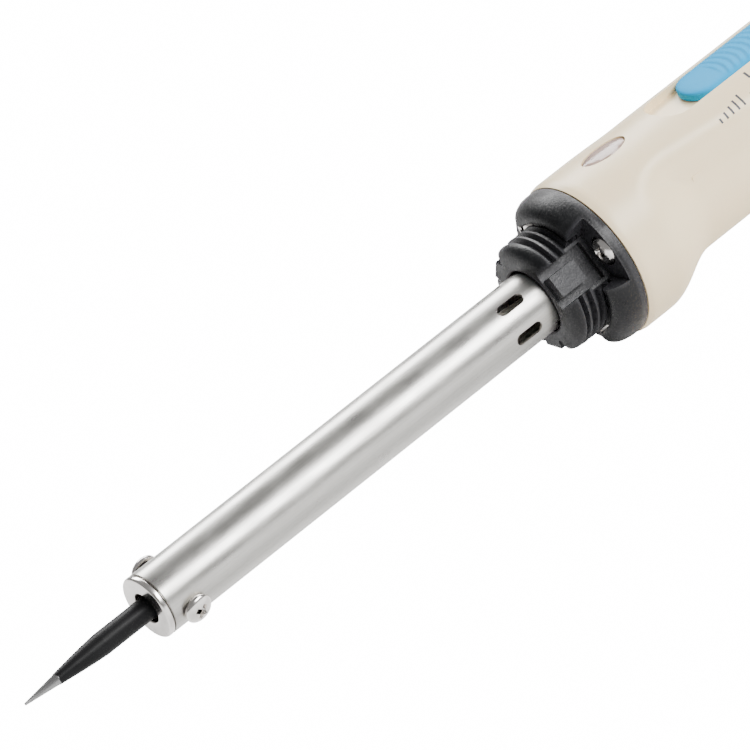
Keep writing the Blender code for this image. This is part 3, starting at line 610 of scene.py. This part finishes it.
def end_cap():
    corners = [(PLUG_BACK, TIP_R + 0.35, 0), (PLUG_BACK, PLUG_R, 0), (CAP_BACK, PLUG_R, 0)]
    corners += [(CAP_BACK, BARREL_R, 0.15), (CAP_FRONT, BARREL_R, 0.5), (CAP_FRONT, MOUTH_R, 0.25)]
    corners += [(CAP_FRONT + 3.4, MOUTH_R, 0), (CAP_FRONT + 3.4, TIP_R + 0.35, 0)]
    piece = loose(turned(rounded(corners, 8), 96, ring=True), "cap_plug")
    carve(piece, [upright_rod(SCREW_S, 1, 7, 1.85, turn) for turn in SCREW_TURNS])
    return settle(piece, "iron", NICKEL, ["barrel_end_cap"])


end_cap()


# %% A pan-head screw with a cross recess
def cross_arm(length, width, top, deep):
    """One tapered arm of the cross, on Z."""
    work = bmesh.new()
    bmesh.ops.create_cube(work, size=1.0)
    for vert in work.verts:
        spread = 1.0 if vert.co.z > 0 else 0.45
        height = top if vert.co.z > 0 else deep
        vert.co = Vector((vert.co.x * length * spread, vert.co.y * width * (0.5 + spread / 2), height))
    return work


def pan_screw(name, head_r, head_height, shank_r, shank_length, cross):
    """Stands on X: the seat is at the origin and the head points to -X."""
    dome = arc((-head_height * 0.22, 0), (-head_height * 0.78, head_r), 0, 90, 12)
    corners = [(0, head_r * 0.97), (0, shank_r), (shank_length - 0.5, shank_r)]
    corners += [(shank_length, shank_r - 0.45), (shank_length, 0)]
    piece = loose(turned(dome + [Vector(point) for point in corners], 48), name)
    arms = []
    for turn in (0, 90):
        arm = cross_arm(cross, cross * 0.27, head_height + 1, head_height - 1.15)
        bmesh.ops.rotate(arm, matrix=Matrix.Rotation(radians(turn), 3, "Z"), verts=arm.verts[:])
        bmesh.ops.rotate(arm, matrix=Matrix.Rotation(-pi / 2, 3, "Y"), verts=arm.verts[:])
        arms.append(arm)
    carve(piece, arms)
    soften(piece, 0.06)
    return piece


def stand(piece, s, radius, turn, spin, outward):
    """Puts a screw in its place: outward from the axis, or facing the tip."""
    if outward:
        piece.data.transform(Matrix.Rotation(radians(spin), 4, "X"))
        piece.data.transform(Matrix.Rotation(pi / 2, 4, "Y"))
    else:
        piece.data.transform(Matrix.Rotation(radians(spin), 4, "X"))
    piece.data.transform(Matrix.Translation((s, 0, radius)))
    piece.data.transform(Matrix.Rotation(radians(turn), 4, "X"))


# %% The two tip screws
for i, (turn, spin) in enumerate(zip(SCREW_TURNS, (20, 38))):
    screw = pan_screw(f"clamp_pan_screw_{i + 1}", 2.72, 1.6, 1.5, BARREL_R - TIP_R, 4.0)
    stand(screw, SCREW_S, BARREL_R + 0.35, turn, spin, True)
    settle(screw, "iron", NICKEL, [f"tip_screw_{i + 1}"], 30)

# %% [markdown]
# ## The barrel
# A drawn steel tube with a wall under half a millimetre. The vents let heat out before it reaches the
# handle: they are punched, so their edges are a little soft.

# %% Model the barrel
WALL = 0.45
FLARE_R = 8.6
VENT_S = COLLAR_FRONT - 6.4
VENT_LENGTH = 5.8
VENT_WIDTH = 2.1
VENT_TURN = 36.4


def vent(turn):
    """A slot with round ends: a cylinder whose halves are moved apart."""
    work = bmesh.new()
    bmesh.ops.create_cone(
        work, cap_ends=True, segments=32, radius1=VENT_WIDTH / 2, radius2=VENT_WIDTH / 2, depth=3
    )
    bmesh.ops.rotate(work, matrix=Matrix.Rotation(pi / 32, 3, "Z"), verts=work.verts[:])
    reach = (VENT_LENGTH - VENT_WIDTH) / 2
    for vert in work.verts:
        vert.co.x += reach if vert.co.x > 0 else -reach
    bmesh.ops.translate(work, vec=(VENT_S, 0, BARREL_R), verts=work.verts[:])
    return swung(work, turn)


def barrel():
    inner = BARREL_R - WALL
    corners = [(1.0, inner, 0), (1.0, FLARE_R, 0.2), (GAP, FLARE_R, 0.2), (GAP, BARREL_R, 0)]
    corners += [(BARREL_FRONT, BARREL_R, 0.15), (BARREL_FRONT, inner, 0)]
    piece = loose(turned(rounded(corners), 144, ring=True), "steel_barrel")
    carve(piece, [upright_rod(SCREW_S, 4, 7, 1.85, turn) for turn in SCREW_TURNS])
    carve(piece, [vent(VENT_TURN + 60 * i) for i in range(6)])
    return settle(piece, "iron", STEEL, ["barrel_tube"], 30)


barrel()

# %% [markdown]
# ## The nose collar
# The most worked piece: a glass-filled black moulding. A domed flange sits on the handle's rim. In
# front of it a coarse thread takes a stand's cap, and it is broken by three windows, each with a pillar
# down its middle and a screw at its foot. The flange has a fan-shaped notch behind each window for the
# screwdriver. The thread is one ridge, spun and moved forward at once, so it climbs like a real one.

# %% Sizes of the collar
FLANGE_R = 15.05
FLANGE_THICK = 6.0
DOME_R = 3.05
THREAD_R = 10.9
THREAD_PITCH = 1.75
THREAD_DEPTH = 1.15
THREAD_BACK = -4.05
NECK_R = THREAD_R - THREAD_DEPTH
LIP_R = 7.65
SLEEVE_R = 7.4
NOSE_SCREW_TURN = 60
NOSE_SCREW_R = 12.0


# %% Turned body and thread
def collar_body():
    shoulder = THREAD_BACK - THREAD_PITCH * 4 + 0.25
    back = -GAP / 2
    points = [Vector((back, FLANGE_R))]
    points += arc((-1.2, FLANGE_R - DOME_R), (1.2 - FLANGE_THICK, DOME_R), 90, 0, 16)
    points += arc((-FLANGE_THICK + 0.5, FLANGE_R - DOME_R), (-0.5, -0.6), 10, 90, 6)
    points += [Vector((THREAD_BACK + 0.7, THREAD_R + 0.25)), Vector((THREAD_BACK + 1.0, NECK_R))]
    points += [Vector((shoulder + 0.9, NECK_R)), Vector((shoulder + 0.2, THREAD_R - 0.15))]
    nose = THREAD_R - 0.1 - LIP_R
    points += arc((shoulder, LIP_R), (COLLAR_FRONT - shoulder, nose), 90, 0, 12)
    bore = BARREL_R + GAP
    points += [Vector((COLLAR_FRONT, bore + 0.3)), Vector((COLLAR_FRONT + 0.3, bore)), Vector((back, bore))]
    return turned(points, 120, ring=True)


def thread_ridge():
    """A trapezoid spun three and a half turns while it moves towards the nose."""
    per_turn = 72
    turns = 3.6
    start = THREAD_BACK + 0.3
    outline = [(0.72, NECK_R - 0.5), (0.22, THREAD_R), (-0.22, THREAD_R), (-0.72, NECK_R - 0.5)]
    work = bmesh.new()
    verts = [work.verts.new((start + s, 0, r)) for s, r in outline]
    face = work.faces.new(verts)
    bmesh.ops.spin(
        work, geom=[face], cent=(0, 0, 0), axis=(1, 0, 0), dvec=(-THREAD_PITCH / per_turn, 0, 0),
        angle=2 * pi * turns, steps=round(per_turn * turns),
    )
    open_edges = [edge for edge in work.edges if edge.is_boundary]
    bmesh.ops.holes_fill(work, edges=open_edges)
    bmesh.ops.recalc_face_normals(work, faces=work.faces[:])
    return work


# %% Windows, notches, seats and pillars
def notch(turn):
    """A fan-shaped block that opens the flange to the outside."""
    half_angle = radians(26.3)
    work = bmesh.new()
    bmesh.ops.create_cube(work, size=1.0)
    for vert in work.verts:
        radius = FLANGE_R + 2 if vert.co.z > 0 else NECK_R - 1.1
        s = -2.2 if vert.co.x > 0 else -FLANGE_THICK - 1
        vert.co = Vector((s, 2 * vert.co.y * radius * tan(half_angle), radius))
    return swung(work, turn)


def nose_collar():
    piece = loose(collar_body(), "threaded_collar")
    carve(piece, [thread_ridge()], "UNION")
    turns = [NOSE_SCREW_TURN + 120 * i for i in range(3)]
    back = THREAD_BACK + 0.9
    front = COLLAR_FRONT - 1
    middle = (front + back) / 2
    deep = FLANGE_R + 2 - SLEEVE_R
    carve(piece, [block((middle, 0, SLEEVE_R + deep / 2), (back - front, 7.4, deep), t) for t in turns])
    carve(piece, [notch(t) for t in turns])
    carve(piece, [lying_rod(-5, -1.2, NOSE_SCREW_R, 2.85, t) for t in turns])
    carve(piece, [lying_rod(-4, 2, NOSE_SCREW_R, 1.4, t) for t in turns])
    base = SLEEVE_R - 0.4
    top = 9.7
    spot = (COLLAR_FRONT + 0.5 + 2.9, 0, (top + base) / 2)
    carve(piece, [block(spot, (5.8, 4.1, top - base), t) for t in turns], "UNION")
    soften(piece, 0.13, 2, 40)
    return settle(piece, "iron", BLACK, ["nose_collar"], 45)


nose_collar()

# %% The three nose screws
for i, spin in enumerate((30, 12, 55)):
    screw = pan_screw(f"collar_pan_screw_{i + 1}", 2.65, 1.7, 1.1, 9.0, 3.4)
    stand(screw, -1.5, NOSE_SCREW_R, NOSE_SCREW_TURN + 120 * i, spin, False)
    settle(screw, "iron", NICKEL, [f"nose_screw_{i + 1}"], 30)

# %% [markdown]
# ## The handle
# The handle is a tube that someone has pressed a thumb into: a full round guard at the rim, a scooped
# grip behind it, a spine on top that carries the slider, and a fuller palm. Its radius is one formula
# of the place along the axis and the angle from the top. A flat grid is bent round the axis and pushed
# to that radius, which gives an even, smooth mesh.

# %% Radius of the handle
GUARD_R = 15.5
SPINE_R = 15.3
GRIP_R = 11.3
PALM_R = 15.7
SCOOP_START = 7.3
SCOOP_ANGLE = 27
SCOOP_LENGTH = 13.0
SCOOP_WIDTH = 10.0
SCOOP_CORNER = 0.75


def smooth(value):
    clamped = min(max(value, 0.0), 1.0)
    return clamped * clamped * (3 - 2 * clamped)


def scoop_depth(s, angle):
    """0 on the guard and the spine, 1 down in the grip, with a rounded corner between them."""
    widening = radians(0.6) * max(s - 18, 0)
    behind = (s - SCOOP_START) / SCOOP_LENGTH
    across = (abs(angle) - radians(SCOOP_ANGLE) - widening) * SPINE_R / SCOOP_WIDTH
    inside = min(behind, across)
    if max(behind, across) < SCOOP_CORNER:
        inside = SCOOP_CORNER - hypot(SCOOP_CORNER - behind, SCOOP_CORNER - across)
    return smooth(inside)


def handle_radius(s, angle):
    spine = GUARD_R + (SPINE_R - GUARD_R) * smooth((s - 8) / 12)
    spine += (PALM_R - SPINE_R) * smooth((s - 60) / 30)
    grip = GRIP_R + (PALM_R - GRIP_R) * smooth((s - 44) / 46)
    radius = spine + (min(grip, spine) - spine) * scoop_depth(s, angle)
    tail = max(s - (HANDLE_END - 12), 0) / 12
    radius -= 5.5 * (1 - (1 - min(tail, 1) ** 2.4) ** 0.5)
    edge = max(1.0 - (s - GAP / 2), 0)
    return radius - 0.4 * edge


# %% The outer skin
FRONT = GAP / 2


def skin():
    """A grid bent round the axis, with its two ends closed."""
    rings, sides = 170, 160
    work = bmesh.new()
    bmesh.ops.create_grid(work, x_segments=rings, y_segments=sides, size=1.0)
    length = HANDLE_END - FRONT
    for vert in work.verts:
        part = (vert.co.x + 1) / 2
        s = FRONT + length * (part + 0.18 * sin(pi * part) ** 2 * sin(2 * pi * part) * -1 / pi)
        s = min(max(s, FRONT), HANDLE_END)
        angle = vert.co.y * pi
        radius = handle_radius(s, angle)
        height = max(radius * cos(angle), -REST_HEIGHT)
        vert.co = Vector((s, -radius * sin(angle), height))
    bmesh.ops.remove_doubles(work, verts=work.verts[:], dist=0.001)
    bmesh.ops.holes_fill(work, edges=[edge for edge in work.edges if edge.is_boundary])
    bmesh.ops.recalc_face_normals(work, faces=work.faces[:])
    return work


# %% Rooms and ribs inside
PLATE_R = 13.7
CORD_WAY = 5.3


def cavity():
    corners = [(HANDLE_END + 6, 0, 0), (HANDLE_END + 6, CORD_WAY, 0), (112, CORD_WAY, 0), (109, 10.5, 0)]
    corners += [(105, 12.4, 1), (88, 12.4, 1), (52, 9.3, 1), (15, 9.3, 1)]
    corners += [(8, PLATE_R + GAP, 1), (-1, PLATE_R + GAP, 0), (-1, 0, 0)]
    return turned(rounded(corners), 64)


def window_plug(length, width, low, high, segments=48):
    """An oval on Z over the lamp."""
    work = bmesh.new()
    bmesh.ops.create_cone(work, cap_ends=True, segments=segments, radius1=0.5, radius2=0.5, depth=high - low)
    bmesh.ops.scale(work, vec=(length, width, 1), verts=work.verts[:])
    bmesh.ops.translate(work, vec=(WINDOW_S, 0, (low + high) / 2), verts=work.verts[:])
    return work


lens_low, lens_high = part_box("indicator_lens")
knob_low, knob_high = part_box("slider_knob")
WINDOW_S = along((lens_low.x + lens_high.x) / 2)
WINDOW_LENGTH = (lens_high.x - lens_low.x) / MM
WINDOW_WIDTH = (lens_high.y - lens_low.y) / MM
KNOB_FRONT = along(knob_low.x)
KNOB_LENGTH = (knob_high.x - knob_low.x) / MM
KNOB_WIDTH = (knob_high.y - knob_low.y) / MM
KNOB_MID = KNOB_FRONT + KNOB_LENGTH / 2
forward, rearward = 5.0, 10.0
TROUGH_FLOOR = 13.0
TROUGH_WIDTH = 9.9
TROUGH_FRONT = 23.2
TROUGH_SLOPE = 2.4
TROUGH_CORNER = 4.7
TROUGH_BACK = KNOB_FRONT + KNOB_LENGTH + rearward + 0.6
print(f"window at {WINDOW_S:.1f}, knob {KNOB_FRONT:.1f} to {KNOB_FRONT + KNOB_LENGTH:.1f} mm")


# %% The slider's trough
def trough():
    """A box, round in front, where its floor slopes up to the surface."""
    height = SPINE_R - TROUGH_FLOOR + 1
    middle = (TROUGH_BACK + TROUGH_FRONT) / 2
    size = (TROUGH_BACK - TROUGH_FRONT, TROUGH_WIDTH, height)
    work = block((middle, 0, TROUGH_FLOOR + height / 2), size)
    corners = [
        e for e in work.edges
        if max(v.co.x for v in e.verts) < TROUGH_FRONT + 0.01 and abs(e.verts[0].co.z - e.verts[1].co.z) > 0.1
    ]
    bmesh.ops.bevel(work, geom=corners, offset=TROUGH_CORNER, segments=18, affect="EDGES", profile=0.5, material=-1)
    geometry = work.verts[:] + work.edges[:] + work.faces[:]
    slope_back = TROUGH_FRONT + TROUGH_SLOPE
    bmesh.ops.bisect_plane(work, geom=geometry, plane_co=(slope_back, 0, 0), plane_no=(1, 0, 0))
    for vert in work.verts:
        if vert.co.x < slope_back and vert.co.z < TROUGH_FLOOR + 0.1:
            vert.co.z += (SPINE_R - 0.35 - TROUGH_FLOOR) * (slope_back - vert.co.x) / TROUGH_SLOPE
    return work


# %% Cut and finish the handle
def handle():
    piece = loose(skin(), "cream_handle")
    slot_start = KNOB_MID - forward - 2.9
    slot_end = KNOB_MID + rearward + 2.9
    channel = block((53, 0, 6.15), (66, 9.4, 12.3))
    slot = block(((slot_start + slot_end) / 2, 0, TROUGH_FLOOR - 0.8), (slot_end - slot_start, 3.8, 4))
    hole = window_plug(WINDOW_LENGTH + 2 * GAP, WINDOW_WIDTH + 2 * GAP, 8, 20)
    carve(piece, [cavity(), channel, trough(), slot, hole])
    bosses = [lying_rod(2.6, 9.5, NOSE_SCREW_R, 2.6, NOSE_SCREW_TURN + 120 * i) for i in range(3)]
    rails = [block((58, side * 8.6, z), (76, 3.0, 1.2)) for side in (-1, 1) for z in (5.7, 2.3)]
    carve(piece, bosses + rails, "UNION")
    carve(piece, [lying_rod(0, 8.4, NOSE_SCREW_R, 1.4, NOSE_SCREW_TURN + 120 * i) for i in range(3)])
    return settle(piece, "iron", CREAM, ["handle_shell"], 40)


handle()

# %% [markdown]
# ## Window, slider and print
# The lens is a clear oval plug that follows the handle's round. The slider is a long thumb pad: a grid
# is narrowed to round ends, domed, and ribbed with shallow arcs. The print beside it is replaced by
# plain marks: rising bars for more heat, a dash and ticks.


# %% Lens
def lens():
    piece = loose(window_plug(WINDOW_LENGTH, WINDOW_WIDTH, 12.6, 15.0, 64), "window_lens")
    work = bmesh.new()
    work.from_mesh(piece.data)
    top = [face for face in work.faces if face.normal.z > 0.9]
    for inset in (0.25, 0.5, 0.6):
        bmesh.ops.inset_region(work, faces=top, thickness=inset)
    for vert in work.verts:
        if vert.co.z > 14:
            angle = atan2(-vert.co.y, 15.0)
            edge = ((vert.co.x - WINDOW_S) / WINDOW_LENGTH) ** 2 + (vert.co.y / WINDOW_WIDTH) ** 2
            vert.co.z = handle_radius(vert.co.x, angle) * cos(angle) - 0.25 * smooth((edge - 0.18) / 0.08)
    work.to_mesh(piece.data)
    work.free()
    return settle(piece, "iron", LENS, ["indicator_lens"], 30)


lens()

# %% Slider knob
KNOB_TOP = (knob_high.z - AXIS_Z) / MM
RIB_PITCH = 1.6
RIB_FIRST = 7.8
RIB_HEIGHT = 0.22


def knob_half_width(s):
    """Half the knob's width at s from its front: round at both ends."""
    nose = KNOB_WIDTH / 2
    near = min(s, KNOB_LENGTH - s)
    if near >= nose:
        return nose
    return nose * (1 - ((nose - near) / nose) ** 2.2) ** (1 / 2.2)


def rib(s, across):
    """Height of the ribs: bars that bow forward towards the knob's edges."""
    shifted = s - RIB_FIRST + 1.6 * across * across
    reach = smooth((s - RIB_FIRST + 1) / 1.5) * smooth((KNOB_LENGTH - RIB_FIRST - s + 1) / 1.5)
    wave = 0.5 + 0.5 * cos(2 * pi * shifted / RIB_PITCH)
    return RIB_HEIGHT * (wave**1.5) * reach * smooth((1 - abs(across)) / 0.25)


def knob():
    work = bmesh.new()
    bmesh.ops.create_grid(work, x_segments=260, y_segments=36, size=1.0)
    low = TROUGH_FLOOR + GAP
    crown = KNOB_TOP - RIB_HEIGHT - low
    for vert in work.verts:
        s = KNOB_LENGTH * (1 - cos(pi * (vert.co.x + 1) / 2)) / 2
        across = sin(pi / 2 * vert.co.y)
        end = min(s, KNOB_LENGTH - s) / 3.2
        fall = (1 - abs(across) ** 3.2) ** (1 / 3.2) if abs(across) < 1 else 0
        fall *= (1 - (1 - min(end, 1)) ** 2.6) ** (1 / 2.6)
        half = max(knob_half_width(s), 0.02)
        height = low + 0.9 + (crown - 0.9) * fall + rib(s, across)
        vert.co = Vector((KNOB_FRONT + s, across * half, height))
    rim = [edge for edge in work.edges if edge.is_boundary]
    made = bmesh.ops.extrude_edge_only(work, edges=rim)["geom"]
    lower = [item for item in made if isinstance(item, bmesh.types.BMVert)]
    for vert in lower:
        vert.co.z = low
    bmesh.ops.holes_fill(work, edges=[edge for edge in work.edges if edge.is_boundary])
    bmesh.ops.remove_doubles(work, verts=work.verts[:], dist=0.005)
    bmesh.ops.recalc_face_normals(work, faces=work.faces[:])
    piece = loose(work, "thumb_slider")
    post_low = 11.7
    post = block((KNOB_MID, 0, (post_low + low + 0.6) / 2), (5.0, 3.0, low + 0.6 - post_low))
    carve(piece, [post], "UNION")
    socket_top = TROUGH_FLOOR + 0.9 + GAP
    carve(piece, [block((KNOB_MID, 0, socket_top - 3), (3.6, 1.8, 6))])
    return settle(piece, "slider", BLUE, ["slider_knob"], 45)


knob()


# %% Print beside the slider
def printed(s_start, s_end, turn_start, turn_end, steps=6):
    """A patch of ink that lies on the handle, from one place and angle to another."""
    work = bmesh.new()
    bmesh.ops.create_grid(work, x_segments=steps, y_segments=steps, size=1.0)
    thick = 0.03
    extruded = bmesh.ops.extrude_face_region(work, geom=work.faces[:])["geom"]
    raised = {item for item in extruded if isinstance(item, bmesh.types.BMVert)}
    for vert in work.verts:
        s = s_start + (s_end - s_start) * (vert.co.x + 1) / 2
        angle = radians(turn_start + (turn_end - turn_start) * (vert.co.y + 1) / 2)
        radius = handle_radius(s, angle) + (thick if vert in raised else -thick)
        vert.co = Vector((s, -radius * sin(angle), radius * cos(angle)))
    bmesh.ops.recalc_face_normals(work, faces=work.faces[:])
    return work


def marks():
    """Rising bars, a dash along the spine and a tick for each step of the scale."""
    patches = []
    for i in range(5):
        s = 29.8 + 1.4 * i
        patches.append(printed(s, s + 0.4, 42.0, 42.0 - 2.0 - 1.5 * (i + 1)))
    patches.append(printed(37.7, 71.0, 38.4, 37.4, 12))
    for i in range(6):
        s = 40.0 + 6.0 * i
        patches.append(printed(s, s + 0.45, 23.0, 29.0))
    for side in patches[1:]:
        spare = bpy.data.meshes.new("patch")
        side.to_mesh(spare)
        side.free()
        patches[0].from_mesh(spare)
        bpy.data.meshes.remove(spare)
    return settle(loose(patches[0], "scale_print"), "iron", INK)


marks()

# %% [markdown]
# ## Rear bush
# The cord's rubber bush has a collar outside the handle and a groove that grips its wall.


# %% Cord bush
def bush():
    bore = 3.4
    corners = [(109.6, bore, 0), (109.6, bore + 1.6, 0.3), (HANDLE_END + 0.35, bore + 1.6, 0)]
    corners += [(HANDLE_END + 0.35, 6.9, 0.3), (BUSH_END - 1.6, 6.9, 0.5), (BUSH_END, bore + 2.6, 0.8)]
    corners += [(BUSH_END, bore, 0.3)]
    corners.append((114, bore, 0))
    piece = loose(turned(rounded(corners), 64, ring=True), "rubber_bush")
    return settle(piece, "iron", RUBBER, ["cord_bush"])


bush()

# %% [markdown]
# ## Studio
# Two long soft panels stand beyond the handle, one on each side and above it, and the sky is dim. On a
# round steel tube every light draws a band along its length: the two panels make the bright bands, the
# sky between them the dark one, and the pale floor lights the lower edge. The floor also glows, but for
# camera rays only, so the background is white and no shadow shows on it.


# %% Floor
def floor_finish():
    made, tree, shader, vector = blank_finish("pale_floor")
    node = place_group(
        tree, GRAIN, vector, light=(0.93, 0.93, 0.93), dark=(0.91, 0.91, 0.91), smoothest=0.7,
        roughest=0.8, relief=0.0, grain=0.05, mottle=0.01,
    )
    tree.links.new(node.outputs["Colour"], shader.inputs["Base Color"])
    tree.links.new(node.outputs["Roughness"], shader.inputs["Roughness"])
    path = tree.nodes.new("ShaderNodeLightPath")
    glow = tree.nodes.new("ShaderNodeEmission")
    glow.inputs["Strength"].default_value = 16.0
    either = tree.nodes.new("ShaderNodeMixShader")
    tree.links.new(path.outputs["Is Camera Ray"], either.inputs[0])
    tree.links.new(shader.outputs[0], either.inputs[1])
    tree.links.new(glow.outputs[0], either.inputs[2])
    tree.links.new(either.outputs[0], tree.nodes["Material Output"].inputs["Surface"])
    return made


ground = bmesh.new()
bmesh.ops.create_grid(ground, x_segments=1, y_segments=1, size=3.0)
floor = loose(ground, "floor")
floor.data.materials.append(floor_finish())


# %% Lights
def panel(name, place, target, size, power):
    """A rectangular soft light that looks at a point."""
    data = bpy.data.lights.new(name, "AREA")
    data.shape = "RECTANGLE"
    data.size, data.size_y = size
    data.energy = power
    lamp = bpy.data.objects.new(name, data)
    bpy.context.scene.collection.objects.link(lamp)
    lamp.location = place
    lamp.rotation_mode = "QUATERNION"
    lamp.rotation_quaternion = (Vector(target) - Vector(place)).to_track_quat("-Z", "Y")
    return lamp


centre = (RIM_X - 0.05, 0, AXIS_Z)
panel("front_panel", (0.5, -0.8, 0.78), centre, (1.2, 0.45), 32)
panel("back_panel", (0.5, 0.82, 0.75), centre, (1.2, 0.5), 26)
world = bpy.data.worlds.new("studio")
world.use_nodes = True
world.node_tree.nodes["Background"].inputs["Color"].default_value = (1.0, 1.0, 1.0, 1.0)
world.node_tree.nodes["Background"].inputs["Strength"].default_value = 0.3
bpy.context.scene.world = world

# %% [markdown]
# The camera looks down along the iron from beyond the tip, far away through a long lens, so the barrel
# hardly narrows. It is rolled, which makes the iron cross the picture from corner to corner.

# %% Camera
AZIMUTH = radians(-28.25)
ELEVATION = radians(28.83)
ROLL = radians(-23.64)
DISTANCE = 1.1599
AIM = TO_WORLD @ Vector((-46.8, 0, 8.3))
backward = Vector((sin(AZIMUTH) * cos(ELEVATION), -cos(AZIMUTH) * cos(ELEVATION), sin(ELEVATION)))
level = Vector((cos(AZIMUTH), sin(AZIMUTH), 0))
right = level * cos(ROLL) + backward.cross(level) * sin(ROLL)
camera_data = bpy.data.cameras.new("camera")
camera_data.sensor_width = 36
camera_data.lens = 329.3
camera_data.clip_end = 10
camera = bpy.data.objects.new("camera", camera_data)
bpy.context.scene.collection.objects.link(camera)
turn = Matrix((right, backward.cross(right), backward)).transposed()
camera.matrix_world = Matrix.Translation(AIM + backward * DISTANCE) @ turn.to_4x4()
bpy.context.scene.camera = camera
print("camera at", [round(value, 3) for value in camera.matrix_world.translation])
